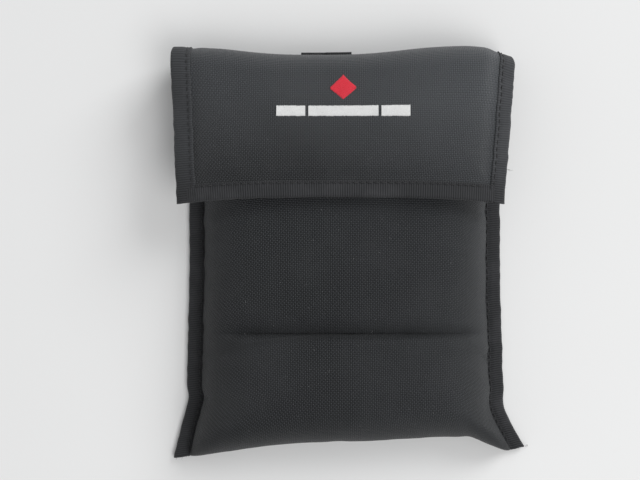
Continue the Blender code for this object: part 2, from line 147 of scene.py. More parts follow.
# The corners at the fold, the fall of its right end, and the line of the front edge.
RIGHT_CORNER_DRAW = 3.2 * MM
LEFT_CORNER_PUSH = 1.0 * MM
SIDE_FALL = 5.0 * MM
FOLD_SINK = 1.9 * MM
FRONT_BOW = 3.1 * MM
FRONT_SET = 0.75 * MM


# ---- Shader expressions ----

class Value:
    """A number over a surface; arithmetic on it adds Math nodes."""

    def __init__(self, finish, socket):
        self.finish = finish
        self.socket = socket

    def math(self, operation, *others):
        slots = {0: self.socket}
        for index, other in enumerate(others, 1):
            slots[index] = other.socket if isinstance(other, Value) else other
        return self.finish.node("ShaderNodeMath", {"operation": operation}, slots)

    def __add__(self, other):
        return self.math("ADD", other)

    __radd__ = __add__

    def __mul__(self, other):
        return self.math("MULTIPLY", other)

    __rmul__ = __mul__

    def __sub__(self, other):
        return self.math("SUBTRACT", other)

    def __rsub__(self, other):
        return self * -1.0 + other

    def __pow__(self, other):
        return self.math("POWER", other)

    def sine(self):
        return self.math("SINE")

    def size(self):
        return self.math("ABSOLUTE")

    def between(self, low, high):
        """0 at low, 1 at high, eased and held outside."""
        settings = {"interpolation_type": "SMOOTHSTEP"}
        slots = {"Value": self.socket, "From Min": low, "From Max": high}
        return self.finish.node("ShaderNodeMapRange", settings, slots)


class Finish:
    """One fabric or thread material, built up node by node."""

    def __init__(self, name, roughness=0.8, sheen=0.0):
        self.material = bpy.data.materials.new(name)
        self.material.use_nodes = True
        self.tree = self.material.node_tree
        self.shader = self.tree.nodes["Principled BSDF"]
        self.shader.inputs["Roughness"].default_value = roughness
        self.shader.inputs["Specular IOR Level"].default_value = 0.35
        self.shader.inputs["Sheen Weight"].default_value = sheen
        self.shader.inputs["Sheen Roughness"].default_value = 0.45

    def node(self, kind, settings=None, slots=None, out=0):
        """A node of any type: its settings, then the values or links of its sockets."""
        made = self.tree.nodes.new(kind)
        for key, value in (settings or {}).items():
            setattr(made, key, value)
        for key, value in (slots or {}).items():
            link = value.socket if isinstance(value, Value) else value
            if isinstance(link, bpy.types.NodeSocket):
                self.tree.links.new(link, made.inputs[key])
            else:
                made.inputs[key].default_value = link
        return Value(self, made.outputs[out])

    def cloth(self):
        """Metres across the cloth from its middle, and along it from its first row."""
        source = self.node("ShaderNodeAttribute", {"attribute_name": "cloth"}, out=1)
        parts = self.node("ShaderNodeSeparateXYZ", slots={0: source})
        second = Value(self, parts.socket.node.outputs[1])
        return parts, second

    def place(self):
        """The piece's own coordinates, for what doesn't follow the cloth."""
        return self.node("ShaderNodeTexCoord", out=3)

    def speckle(self, scale, detail=2.0, roughness=0.5):
        """Cloudy noise from 0 to 1."""
        slots = {"Vector": self.place(), "Scale": scale, "Detail": detail, "Roughness": roughness}
        return self.node("ShaderNodeTexNoise", slots=slots)

    def blend(self, share, dark, light):
        """A colour from dark to light as share goes from 0 to 1."""
        ends = [end if isinstance(end, Value) else (*end, 1.0) for end in (dark, light)]
        return self.node("ShaderNodeMix", {"data_type": "RGBA"}, {0: share, 6: ends[0], 7: ends[1]}, out=2)

    def colour(self, value):
        self.tree.links.new(value.socket, self.shader.inputs["Base Color"])

    def gloss(self, value):
        self.tree.links.new(value.socket, self.shader.inputs["Roughness"])

    def relief(self, height, depth):
        """Bump of the given depth in metres."""
        slots = {"Height": height, "Distance": depth, "Strength": 1.0}
        bump = self.node("ShaderNodeBump", slots=slots)
        self.tree.links.new(bump.socket, self.shader.inputs["Normal"])


# ---- Fabrics and threads ----

YARN = 0.90 * MM
LINING_YARN = 0.55 * MM
TAPE_RIB = 1.15 * MM
TAPE_FIBRE = 0.40 * MM
WEBBING_RIB = 0.95 * MM
WEBBING_CORD = 1.3 * MM
THREAD_PLY = 0.28 * MM


def rows_of(place, pitch):
    """Round ridges at the given pitch: 0 between two, 1 on top."""
    return (place * (math.pi / pitch)).sine().size()


def weave(finish, pitch_u, pitch_v):
    """Plain weave of two crossing yarns: height and which yarn is on top."""
    u, v = finish.cloth()
    drift = (finish.speckle(35.0) - 0.5) * 0.35
    across = (u * (math.pi / pitch_u) + drift).sine()
    along = (v * (math.pi / pitch_v) + drift).sine()
    top = (across * along).between(-0.25, 0.25)
    warp = across.size() ** 0.6 * (0.62 + along.size() * 0.38)
    weft = along.size() ** 0.6 * (0.62 + across.size() * 0.38)
    height = warp * top + weft * (1.0 - top)
    return height, top


def ballistic_nylon(name, sheen, painted_light, painted_light_from, painted_light_to):
    """Charcoal nylon in a coarse plain weave, with painted light: the third argument is how much lighter it
    is painted, a share that ramps up between the two places along the cloth given after it and towards the
    right, standing in for the light from the upper right.
    """
    finish = Finish(name, roughness=0.6, sheen=sheen)
    height, top = weave(finish, YARN, YARN)
    yarns = finish.blend(top, (0.0056, 0.0067, 0.0082), (0.0262, 0.0294, 0.0332))
    # Painted shade: the weave's hollows are painted darker.
    depths = finish.blend(height.between(0.35, 0.95), (0.0016, 0.0020, 0.0026), yarns)
    mottle = finish.speckle(22.0, 3.0, 0.6)
    worn_and_painted_light = finish.blend(mottle.between(0.35, 0.75) * 0.30, depths, (0.0420, 0.0445, 0.0475))
    u, v = finish.cloth()
    # Painted light: lighter between the two places along the cloth and towards the right, where the light
    # from the upper right falls; the mottle above is wear.
    ramp = v.between(painted_light_from, painted_light_to) * 0.6 + u.between(-0.02, 0.09) * 0.4
    worn_and_painted_light = finish.blend(ramp * painted_light, worn_and_painted_light, (0.158, 0.171, 0.188))
    fleck = finish.speckle(900.0, 1.0).between(0.74, 0.80) * 0.35
    finish.colour(finish.blend(fleck, worn_and_painted_light, (0.140, 0.142, 0.146)))
    finish.gloss(0.56 + mottle * 0.14 - height * 0.12)
    finish.relief(height, 0.42 * MM)
    return finish.material


def binding_tape(name, painted_light):
    """Ribbed binding: fine ribs across its length, painted lighter away from its cut end by the share given,
    as painted light.
    """
    finish = Finish(name, roughness=0.82, sheen=0.10)
    u, v = finish.cloth()
    wander = (finish.speckle(60.0) - 0.5) * 0.8
    ribs = (v * (math.pi / TAPE_RIB) + wander).sine().size()
    fibres = (u * (math.pi / TAPE_FIBRE) + wander).sine().size()
    height = ribs * 0.8 + fibres * 0.2
    # Painted shade: the grooves between the ribs are painted darker.
    ground = finish.blend(height, (0.0030, 0.0032, 0.0038), (0.0330, 0.0342, 0.0370))
    dusty = finish.speckle(45.0, 3.0, 0.65).between(0.42, 0.80) * 0.40
    dusted = finish.blend(dusty, ground, (0.060, 0.060, 0.065))
    # Painted light: lighter away from the cut end by the share given; the dust above is real.
    finish.colour(finish.blend(v.between(0.0, 0.03) * painted_light, dusted, (0.120, 0.128, 0.138)))
    finish.relief(height, 0.26 * MM)
    return finish.material


def fibre_lining():
    """Heat-resisting lining: a pale, close plain weave with a slight gloss."""
    finish = Finish("fibre_lining", roughness=0.62)
    height, top = weave(finish, LINING_YARN, LINING_YARN)
    yarns = finish.blend(top, (0.330, 0.320, 0.290), (0.440, 0.430, 0.400))
    stained = finish.speckle(18.0, 3.0).between(0.45, 0.85) * 0.35
    # Painted shade: the weave's hollows are painted darker; the stains are real.
    woven = finish.blend(height.between(0.2, 0.9), (0.150, 0.145, 0.130), yarns)
    finish.colour(finish.blend(stained, woven, (0.260, 0.245, 0.215)))
    finish.relief(height, 0.10 * MM)
    return finish.material


def open_foam(name):
    """Grey foam with fine open cells."""
    finish = Finish(name, roughness=0.95)
    cells = finish.node("ShaderNodeTexVoronoi", slots={"Vector": finish.place(), "Scale": 1400.0})
    # Painted shade: the cells' hollows are painted darker.
    finish.colour(finish.blend(cells.between(0.1, 0.7), (0.070, 0.070, 0.068), (0.200, 0.200, 0.195)))
    finish.relief(cells, 0.25 * MM)
    return finish.material


def strap_webbing():
    """Black webbing: a herringbone of ribs that lean towards the middle."""
    finish = Finish("strap_webbing", roughness=0.74, sheen=0.15)
    u, v = finish.cloth()
    ribs = rows_of(v + u.size() * 0.9, WEBBING_RIB)
    cords = rows_of(u, WEBBING_CORD)
    height = ribs * 0.65 + cords * 0.35
    # Painted shade: the grooves between the ribs and cords are painted darker.
    ground = finish.blend(height, (0.0090, 0.0092, 0.0100), (0.0300, 0.0305, 0.0330))
    rubbed = finish.speckle(50.0, 3.0).between(0.45, 0.85) * 0.3
    finish.colour(finish.blend(rubbed, ground, (0.055, 0.055, 0.058)))
    finish.relief(height, 0.22 * MM)
    return finish.material


def hook_tape():
    """Hook tape's ground: a fine grid with a plastic gloss."""
    finish = Finish("hook_tape", roughness=0.45)
    u, v = finish.cloth()
    rows = rows_of(u, 0.9 * MM) * rows_of(v, 0.7 * MM)
    # Painted shade: the grid's hollows are painted darker.
    finish.colour(finish.blend(rows, (0.010, 0.010, 0.011), (0.045, 0.045, 0.047)))
    finish.relief(rows, 0.3 * MM)
    return finish.material


def loop_pile():
    """Loop tape: a dense, fuzzy nap."""
    finish = Finish("loop_pile", roughness=0.97, sheen=0.35)
    fuzz = finish.speckle(1500.0, 3.0, 0.7)
    tufts = finish.speckle(420.0, 2.0, 0.6)
    height = fuzz * 0.6 + tufts * 0.4
    # Painted shade: the low places in the nap are painted darker.
    finish.colour(finish.blend(height.between(0.35, 0.7), (0.010, 0.010, 0.011), (0.048, 0.048, 0.051)))
    finish.relief(height, 0.5 * MM)
    return finish.material


def twisted_thread(name, dark, light, roughness=0.6):
    """Sewing thread: plies that spiral round it."""
    finish = Finish(name, roughness=roughness, sheen=0.1)
    u, v = finish.cloth()
    plies = rows_of(u + v * 1.2, THREAD_PLY)
    # Partly random tone, partly painted shade: darker between the plies.
    tone = finish.speckle(260.0, 2.0) * 0.4 + plies * 0.6
    finish.colour(finish.blend(tone, dark, light))
    finish.relief(plies, 0.06 * MM)
    return finish.material


def table_top():
    """Pale matt table with a barely visible unevenness."""
    finish = Finish("table_top", roughness=0.6)
    cloud = finish.speckle(3.0, 3.0)
    finish.colour(finish.blend(cloud, (0.765, 0.765, 0.760), (0.790, 0.790, 0.788)))
    finish.relief(finish.speckle(700.0, 2.0), 0.02 * MM)
    return finish.material


# Three copies of one nylon with different amounts of painted light: the flap and the bridge are painted
# lighter than the pouch.
NYLON = ballistic_nylon("pouch_nylon", 0.07, 0.09, 0.27, 0.36)
FLAP_NYLON = ballistic_nylon("flap_nylon", 0.26, 0.31, 0.005, 0.065)
BRIDGE_NYLON = ballistic_nylon("bridge_nylon", 0.20, 0.26, 0.024, 0.002)
# The flap's tapes are a copy painted lighter, as painted light.
TAPE_RIBS = binding_tape("binding_tape", 0.0)
FLAP_TAPE_RIBS = binding_tape("flap_binding_tape", 0.16)
LINING_CLOTH = fibre_lining()
FOAM = open_foam("padding_foam")
WEBBING = strap_webbing()
HOOKS = hook_tape()
PILE = loop_pile()
THREAD = twisted_thread("black_thread", (0.0030, 0.0030, 0.0034), (0.0300, 0.0305, 0.0330))
RED = twisted_thread("red_embroidery", (0.560, 0.016, 0.028), (0.940, 0.048, 0.085), 0.45)
WHITE = twisted_thread("white_embroidery", (0.680, 0.680, 0.675), (0.930, 0.930, 0.925), 0.45)
LINT = twisted_thread("lint", (0.120, 0.122, 0.126), (0.260, 0.262, 0.266), 0.9)


# ---- Mesh tools ----

def smooth(t):
    """Eased step: 0 up to t = 0, 1 from t = 1."""
    t = min(max(t, 0.0), 1.0)
    return t * t * (3.0 - 2.0 * t)


def evenly(low, high, steps):
    """Values from low to high with equal steps."""
    return [low + (high - low) * k / steps for k in range(steps + 1)]


def ripple(x, y, scale, seed=0.0):
    """Smooth noise from about -1 to 1, with features scale metres across."""
    return noise.noise(Vector((x / scale, y / scale, seed)))


def lay_grid(surface, across, along, turned=False):
    """Points, faces and cloth coordinates of a grid on surface(a, b); turned runs the cloth along a."""
    points = [Vector(surface(a, b)) for b in along for a in across]
    width = len(across)
    height = len(along)
    faces = []
    for row in range(height - 1):
        for column in range(width - 1):
            first = row * width + column
            faces.append((first, first + 1, first + width + 1, first + width))
    middle_row = (height // 2) * width
    run = [0.0]
    for column in range(1, width):
        run.append(run[-1] + (points[middle_row + column] - points[middle_row + column - 1]).length)
    half = run[width // 2]
    middle = width // 2
    rise = [0.0]
    for row in range(1, height):
        step = points[row * width + middle] - points[(row - 1) * width + middle]
        rise.append(rise[-1] + step.length)
    cloth = [(run[k % width] - half, rise[k // width], 0.0) for k in range(width * height)]
    if turned:
        cloth = [(v, u, 0.0) for u, v, _ in cloth]
    return points, faces, cloth


def make_object(name, points, faces, cloth, finish):
    """A smooth-shaded piece that carries its cloth coordinates."""
    mesh = bpy.data.meshes.new(name)
    mesh.from_pydata([tuple(p) for p in points], [], faces)
    layer = mesh.attributes.new("cloth", "FLOAT_VECTOR", "POINT")
    layer.data.foreach_set("vector", [value for entry in cloth for value in entry])
    mesh.materials.append(finish)
    mesh.shade_smooth()
    obj = bpy.data.objects.new(name, mesh)
    bpy.context.scene.collection.objects.link(obj)
    return obj


def settle(obj):
    """Apply the modifiers, so that the mesh is final."""
    graph = bpy.context.evaluated_depsgraph_get()
    final = bpy.data.meshes.new_from_object(obj.evaluated_get(graph))
    obj.modifiers.clear()
    obj.data = final
    return obj


def cloth_sheet(name, surface, across, along, thickness, finish, rim=0.0, turned=False):
    """Fabric of even thickness about surface(a, b)."""
    obj = make_object(name, *lay_grid(surface, across, along, turned), finish)
    solidify = obj.modifiers.new("thickness", "SOLIDIFY")
    solidify.thickness = thickness
    solidify.offset = 0.0
    if rim:
        bevel = obj.modifiers.new("rim", "BEVEL")
        bevel.width = rim
        bevel.segments = 2
        bevel.limit_method = "ANGLE"
    return settle(obj)


def mount(piece, body, node):
    """Put a piece on a body, in place of a plain node."""
    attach(piece, body)
    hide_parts(node)


def close_tube(faces, base, rings, sides):
    """Faces of a tube whose rings of points start at base, capped at both ends."""
    for ring in range(rings - 1):
        for k in range(sides):
            a = base + ring * sides + k
            b = base + ring * sides + (k + 1) % sides
            faces.append((a, b, b + sides, a + sides))
    last = base + (rings - 1) * sides
    faces.append(tuple(base + k for k in reversed(range(sides))))
    faces.append(tuple(last + k for k in range(sides)))


STITCH = 2.5 * MM
STITCH_GAP = 0.9 * MM
THREAD_RADIUS = 0.34 * MM
STITCH_SKEW = 0.25 * MM


def stitch_row(name, route, finish):
    """Separate stitches along route, a list of (point, normal): each dips into the cloth at its ends."""
    marks = [0.0]
    for (a, _), (b, _) in zip(route, route[1:]):
        marks.append(marks[-1] + (b - a).length)

    def at(distance):
        index = 1
        while index < len(marks) - 1 and marks[index] < distance:
            index += 1
        span = max(marks[index] - marks[index - 1], 1e-9)
        t = (distance - marks[index - 1]) / span
        (last, last_normal), (following, following_normal) = route[index - 1:index + 1]
        return last.lerp(following, t), last_normal.lerp(following_normal, t).normalized()

    points, faces, cloth = [], [], []
    sides, stations = 6, 6
    start = STITCH_GAP / 2
    while start + STITCH < marks[-1]:
        base = len(points)
        skew = (rng.random() - 0.5) * STITCH_SKEW
        for station in range(stations + 1):
            t = station / stations
            along = start + STITCH * t
            point, normal = at(along)
            ahead, _ = at(min(along + 0.2 * MM, marks[-1]))
            forward = ahead - point
            forward = forward.normalized() if forward.length > 1e-7 else Vector((0, 1, 0))
            side = forward.cross(normal).normalized()
            arch = math.sin(math.pi * t)
            centre = point + normal * (THREAD_RADIUS * (0.75 * arch - 0.45)) + side * skew * (t - 0.5)
            thick = THREAD_RADIUS * (0.55 + 0.45 * arch ** 0.5)
            for k in range(sides):
                angle = 2 * math.pi * k / sides
                points.append(centre + side * thick * math.cos(angle) + normal * thick * math.sin(angle))
                cloth.append((THREAD_RADIUS * angle, along, 0.0))
        close_tube(faces, base, stations + 1, sides)
        start += STITCH + STITCH_GAP
    return make_object(name, points, faces, cloth, finish)


# ---- Pouch surface ----

def edge_half(side, y):
    """Distance from the centre line to the cut side edge."""
    if side < 0:
        corner, run, draw_in = LEFT_CORNER, LEFT_FLARE_RUN, LEFT_DRAW_IN
    else:
        corner, run, draw_in = RIGHT_CORNER, RIGHT_FLARE_RUN, RIGHT_DRAW_IN
    t = max((Y_CORNER + run - y) / run, 0.0)
    flare = (corner - SIDE_HALF) * t ** FLARE_POWER
    wave = 0.55 * MM * ripple(side, y, 17.0 * MM, 3.0) + 0.35 * MM * ripple(side, y, 5.0 * MM, 8.0)
    nip = NIP_DEPTH * math.exp(-((y - Y_CORNER - run * NIP_SHARE) / NIP_SPAN) ** 2)
    return SIDE_HALF + flare + wave - nip - draw_in * smooth((y - DRAW_IN_START) / DRAW_IN_RUN)


def bottom_y(x):
    """Bottom fold: the corners reach lowest, the filled middle is drawn up."""
    corner = LEFT_CORNER if x < 0 else RIGHT_CORNER
    share = min(abs(x) / corner, 1.0)
    wave = 0.5 * MM * ripple(x, 0.0, 16.0 * MM, 5.0) * share
    if x < 0:
        rise = BOTTOM_BOW * (1.0 - share ** BOW_POWER)
        rise -= LEFT_HEEL * smooth((share - 0.7) / 0.2) * (1.0 - share) / 0.2
    else:
        rise = BOTTOM_BOW + RIGHT_RISE * smooth(share / 0.6) - RIGHT_FALL * smooth((share - 0.70) / 0.20)
        rise += RIGHT_TOE * smooth((share - 0.92) / 0.08)
    return Y_CORNER + rise + wave


def bulge(s):
    """Share of the full thickness across the pouch: s is -1 and 1 at the side seams."""
    return (1.0 - min(abs(s), 1.0) ** BULGE_POWER) ** BULGE_ROUNDING


def crown(s, y, x):
    """Height of the front fabric over the side seams at full bulge."""
    drop = MOUTH_DROP * smooth((y - MOUTH_DROP_START) / (Y_MOUTH - MOUTH_DROP_START))
    from_crease = y - CREASE_Y
    width = CREASE_ABOVE if from_crease > 0 else CREASE_BELOW
    ramp = (1.0 - abs(s) ** 5) * smooth((s + 0.98) / 0.35)
    valley = CREASE_DEPTH * math.exp(-abs(from_crease / width) ** 1.3) * ramp
    valley += CREASE_HOLLOW * math.exp(-(from_crease / CREASE_SPREAD) ** 2) * ramp
    swell = 0.9 * MM * ripple(x, y, 46.0 * MM, 1.0) + 0.30 * MM * ripple(x, y, 16.0 * MM, 2.0)
    swell *= 1.0 - 0.8 * near_mouth(y)
    return Z_TOP - Z_FLANGE_FRONT - drop - valley + swell


def puckers(side, y):
    """Gathers along a side seam."""
    return ripple(side * 2.0, y, 7.0 * MM, 11.0) + 0.5 * ripple(side, y, 3.2 * MM, 12.0)


def across_x(s, y, inset):
    """Place across the pouch: s runs from -1 to 1 between the seams, and on to 2 at a cut edge."""
    side = -1.0 if s < 0 else 1.0
    seam = edge_half(side, y) - SEAM_INSET
    share = min(abs(s), 1.0)
    belly = BELLY * math.sin(math.pi * min(bulge(s) / 0.9, 1.0)) if share > 0.6 else 0.0
    near_wall = smooth((share - 0.72) / 0.25) * (1.0 - smooth((share - 0.985) / 0.015))
    gather = 0.55 * MM * puckers(side, y) * near_wall
    wall = share * seam - inset * share ** 4 + belly + gather
    return side * (wall + max(abs(s) - 1.0, 0.0) * SEAM_INSET)


def fold_dip(u):
    """How far the mouth and its fold are drawn in, across the strip."""
    return FOLD_DIP * math.exp(-abs((u + 0.14) / 0.56) ** 3.0)


def near_mouth(y):
    """0 well below the mouth, 1 at it."""
    return smooth((y - Y_MOUTH) / (30.0 * MM) + 1.0)


def front_point(s, y, inset=0.0):
    """Point of the front wall, inset below the outer fabric's middle."""
    x = across_x(s, y, inset)
    if abs(s) >= 1.0:
        return (x, y, Z_FLANGE_FRONT)
    side = -1.0 if s < 0 else 1.0
    gather = 0.8 * MM * puckers(side, y) * smooth((abs(s) - 0.6) / 0.3)
    height = Z_FLANGE_FRONT + (crown(s, y, x) + gather - inset) * bulge(s)
    draw = (fold_dip((x - FLAP_CENTRE) / SIDE_HALF) + MOUTH_DRAW_IN) * near_mouth(y)
    return (x, y - draw, height)


def beside_strap(x):
    """1 over the belt strap, 0 clear of it."""
    from_middle = abs(x - (strap_low[0] + strap_high[0]) / 2)
    return 1.0 - smooth((from_middle - 13.5 * MM) / (6.0 * MM))


def hollow_for_strap(x, y):
    """How far the back is pressed in by the strap under it."""
    return STRAP_HOLLOW * beside_strap(x) * smooth((y - strap_low[1] + 7.0 * MM) / (6.0 * MM))


def back_point(s, y, inset=0.0):
    """Point of the back wall, which lies on the table."""
    x = across_x(s, y, inset)
    height = SHELL / 2 + (Z_FLANGE_BACK - SHELL / 2) * smooth((abs(s) - 0.9) / 0.1) + hollow_for_strap(x, y)
    sag = BACK_SAG * (1.0 + ripple(x, y, 12.0 * MM, 21.0)) * (1.0 if abs(s) < 1.0 else 0.0)
    return (x, y, height + sag + (inset if abs(s) <= 1.0 else 0.0))


def nose_run(s):
    """How far the bottom fold's round nose reaches."""
    fold = (Z_FLANGE_FRONT - Z_FLANGE_BACK) / 2
    return fold + (NOSE_RADIUS * bulge(s) if abs(s) < 1.0 else 0.0)


Y_NOSE_END = Y_CORNER + BOTTOM_BOW + NOSE_RADIUS + 0.6 * MM


def strip_point(s, stage, inset=0.0):
    """Point along the folded strip: ('back', y), ('nose', angle) or ('front', y)."""
    part, value = stage
    corner = LEFT_CORNER if s < 0 else RIGHT_CORNER
    edge = min(abs(s), 1.0) * (corner - SEAM_INSET) + max(abs(s) - 1.0, 0.0) * SEAM_INSET
    tip = bottom_y(math.copysign(edge, s))
    start = tip + nose_run(s)
    if part != "nose":
        y = start + (value - Y_NOSE_END) * (Y_MOUTH - start) / (Y_MOUTH - Y_NOSE_END)
        return front_point(s, y, inset) if part == "front" else back_point(s, y, inset)
    front = front_point(s, start, inset)
    back = back_point(s, start, inset)
    inside = abs(s) < 1.0
    middle = (Z_FLANGE_BACK + Z_FLANGE_FRONT) / 2 + (NOSE_TIP_HEIGHT * bulge(s) if inside else 0.0)
    reach = nose_run(s) - (1.8 * inset if inside else 0.0)
    y = start - reach * math.cos(value)
    x = across_x(s, y, inset)
    crumple = 0.35 * MM * ripple(x, value * 0.01, 9.0 * MM, 31.0) * math.cos(value) * bulge(s)
    if value >= 0.0:
        return (x, y + crumple, middle + (front[2] - middle) * math.sin(value))
    return (x, y + crumple, middle + (middle - back[2]) * math.sin(value))


def wall_columns(limit, steps):
    """Values of s, closer together towards the side walls."""
    half = [limit * (1.0 - (1.0 - k / steps) ** 2.0) for k in range(1, steps + 1)]
    return [-value for value in reversed(half)] + [0.0] + half


NOSE_STEPS = 24


def strip_stages(front_end, back_end, fine):
    """Stages from the back's mouth edge round the nose to the front's, closer together at the crease."""
    back = [("back", y) for y in evenly(back_end, Y_NOSE_END, fine // 2)]
    nose = [("nose", math.pi * (k / NOSE_STEPS - 0.5)) for k in range(1, NOSE_STEPS)]
    rows = evenly(Y_NOSE_END, front_end, fine) + evenly(CREASE_Y - 5.03 * MM, CREASE_Y + 9.01 * MM, fine // 4)
    front = [("front", y) for y in sorted(rows)]
    return back + nose + front


LAYER_LIMIT = 0.93


def pouch_cloth():
    """Outer fabric, foam and lining of the pouch."""
    fine = 150
    wall = wall_columns(0.9985, 70)
    flange = [1.0, 1.25, 1.6, 2.0]
    outer = [-value for value in reversed(flange)] + wall + flange
    inner = wall_columns(LAYER_LIMIT, 30)
    layers = (
        ("outer_fabric", 0.0, outer, fine, 1.0 * MM, SHELL, NYLON, "outer_shell", "nylon"),
        ("foam", PADDING_INSET, inner, 60, 1.6 * MM, PADDING, FOAM, "shell_padding", "foam"),
        ("lining", LINING_INSET, inner, 60, 1.3 * MM, LINING, LINING_CLOTH, "shell_lining", "lining"),
    )
    for word, inset, columns, steps, short, thickness, finish, node, slot in layers:
        stages = strip_stages(Y_MOUTH - short, Y_FOLD - BACK_RUN, steps)
        piece = cloth_sheet(f"pouch_{word}", lambda s, stage: strip_point(s, stage, inset), columns, stages,
                            thickness, finish)
        mount(piece, "pouch", node)
        slot == "foam"


LEG_STEPS = 7
BEND_STEPS = 8
STITCH_PULL = 0.55 * MM


def tape_section(width, low, high, beyond):
    """Round-edged fold of tape: (distance in from the cut edge, height)."""
    middle = (low + high) / 2
    radius = (high - low) / 2
    top = [(width * (1.0 - k / LEG_STEPS), high) for k in range(LEG_STEPS)]
    angles = [math.pi * (0.5 - k / BEND_STEPS) for k in range(BEND_STEPS + 1)]
    bend = [(-beyond * math.cos(angle), middle + radius * math.sin(angle)) for angle in angles]
    bottom = [(width * (k + 1) / LEG_STEPS, low) for k in range(LEG_STEPS)]
    return top + bend + bottom


def stitched_down(distance, line):
    """How far a tape is drawn into the padding by its stitch line."""
    return STITCH_PULL * math.exp(-((distance - line) / (1.0 * MM)) ** 2)


SIDES = (("left", -1.0), ("right", 1.0))
SIDE_TAPE_WIDTH = 7.2 * MM
SIDE_STITCH_LINE = 5.6 * MM
MOUTH_TAPE_WIDTH = 7.0 * MM
MOUTH_STITCH_LINE = MOUTH_TAPE_WIDTH - 1.6 * MM


def side_tapes():
    """Tapes folded round the pouch's side seams, with their stitches."""
    high = Z_FLANGE_FRONT + SHELL / 2 + TAPE / 2 + 0.15 * MM
    low = TAPE / 2 + 0.02 * MM
    section = tape_section(SIDE_TAPE_WIDTH, low, high, 0.9 * MM)
    for word, side in SIDES:

        def tape(index, t):
            distance, z = section[index]
            foot = bottom_y(side * (edge_half(side, Y_CORNER) - distance)) - 0.6 * MM
            y = foot + (Y_MOUTH - foot) * t
            wobble = 0.25 * MM * ripple(side * 3.0, y, 6.0 * MM, 41.0) if distance > 6.0 * MM else 0.0
            x = side * (edge_half(side, y) - distance + wobble)
            if z > 2.0 * MM:
                z += 0.25 * MM * ripple(x, y, 4.0 * MM, 43.0) * smooth(distance / (2.0 * MM))
                z -= stitched_down(distance, SIDE_STITCH_LINE)
            return (x, y, z)

        rows = evenly(0.0, 1.0, 240)
        piece = cloth_sheet(f"{word}_side_tape", tape, range(len(section)), rows, TAPE, TAPE_RIBS)
        mount(piece, "pouch", f"{word}_side_binding")
        route = []
        for y in evenly(Y_CORNER + (2.0 if side < 0 else 8.0) * MM, Y_MOUTH, 160):
            x = side * (edge_half(side, y) - SIDE_STITCH_LINE)
            route.append((Vector((x, y, high - 0.3 * MM + TAPE / 2)), Vector((0, 0, 1))))
        stitches = stitch_row(f"{word}_side_stitches", route, THREAD)
        mount(stitches, "pouch", f"{word}_side_thread")


def mouth_tape():
    """Tape over the mouth edge of the front wall, and its stitches."""
    outside = -(SHELL / 2 + TAPE / 2 + 0.1 * MM)
    inside = LINING_INSET + LINING / 2 + TAPE / 2 + 0.1 * MM
    columns = wall_columns(LAYER_LIMIT, 40)
    section = [(outside, Y_MOUTH - MOUTH_TAPE_WIDTH * (1.0 - k / 6)) for k in range(6)]
    for k in range(BEND_STEPS + 1):
        angle = math.pi * k / BEND_STEPS
        depth = (outside + inside) / 2 - (inside - outside) / 2 * math.cos(angle)
        section.append((depth, Y_MOUTH - 0.9 * MM + 1.2 * MM * math.sin(angle)))
    section += [(inside, Y_MOUTH - MOUTH_TAPE_WIDTH * (k + 1) / 6) for k in range(6)]
    piece = cloth_sheet("mouth_tape", lambda s, k: front_point(s, section[k][1], section[k][0]), columns,
                        range(len(section)), TAPE, TAPE_RIBS, turned=True)
    mount(piece, "pouch", "mouth_binding")
    route = []
    line = Y_MOUTH - MOUTH_STITCH_LINE
    for s in columns:
        point = Vector(front_point(s, line, outside - TAPE / 2))
        ahead = Vector(front_point(s, line + 1.0 * MM, outside - TAPE / 2))
        beside = Vector(front_point(s + 0.01, line, outside - TAPE / 2))
        route.append((point, (beside - point).cross(ahead - point).normalized()))
    mount(stitch_row("mouth_stitches", route, THREAD), "pouch", "mouth_thread")


# ---- Flap strip surface ----

ARC_1 = INNER_CORNER * math.pi / 2
ARC_2 = OUTER_CORNER * math.pi / 2
WALL_RUN = Z_FLAP - OUTER_CORNER - Z_BACK_INNER - INNER_CORNER
FLAP_RUN = Y_BRIDGE - OUTER_CORNER - Y_FLAP_FRONT
Q_WALL = BACK_RUN + ARC_1
Q_TOP = Q_WALL + WALL_RUN
Q_FLAP = Q_TOP + ARC_2
Q_END = Q_FLAP + FLAP_RUN
Q_SPLIT = Q_WALL + WALL_RUN * 0.5


def strip_path(q, depth):
    """Section of the flap strip: q runs from the back round the mouth to the flap's front edge."""
    if q < BACK_RUN:
        return (Y_BRIDGE - INNER_CORNER - BACK_RUN + q, Z_BACK_INNER - depth)
    if q < Q_WALL:
        angle = (q - BACK_RUN) / INNER_CORNER
        reach = INNER_CORNER + depth
        return (Y_BRIDGE - INNER_CORNER + reach * math.sin(angle),
                Z_BACK_INNER + INNER_CORNER - reach * math.cos(angle))
    if q < Q_TOP:
        return (Y_BRIDGE + depth, Z_BACK_INNER + INNER_CORNER + q - Q_WALL)
    if q < Q_FLAP:
        angle = (q - Q_TOP) / OUTER_CORNER
        reach = OUTER_CORNER + depth
        return (Y_BRIDGE - OUTER_CORNER + reach * math.cos(angle),
                Z_FLAP - OUTER_CORNER + reach * math.sin(angle))
    return (Y_BRIDGE - OUTER_CORNER - (q - Q_FLAP), Z_FLAP + depth)


def flap_share(q):
    """0 at the fold, 1 at the flap's front edge."""
    return min(max((q - Q_FLAP) / FLAP_RUN, 0.0), 1.0)


def flap_half(side, q):
    """Distance from the strip's centre line to its cut side edge."""
    share = flap_share(q)
    onto = smooth((q - BACK_RUN) / WALL_RUN)
    start = SIDE_HALF - 1.0 * MM
    if side < 0:
        edge = FOLD_HALF_LEFT - LEFT_TAPER * share ** 1.3
    else:
        edge = FOLD_HALF_RIGHT - RIGHT_TAPER * share
    wave = 0.4 * MM * ripple(side * 5.0, q, 11.0 * MM, 51.0) + 0.25 * MM * ripple(side, q, 4.0 * MM, 52.0)
    return start + (edge - start) * onto + wave * (1.0 if side < 0 else 1.6)


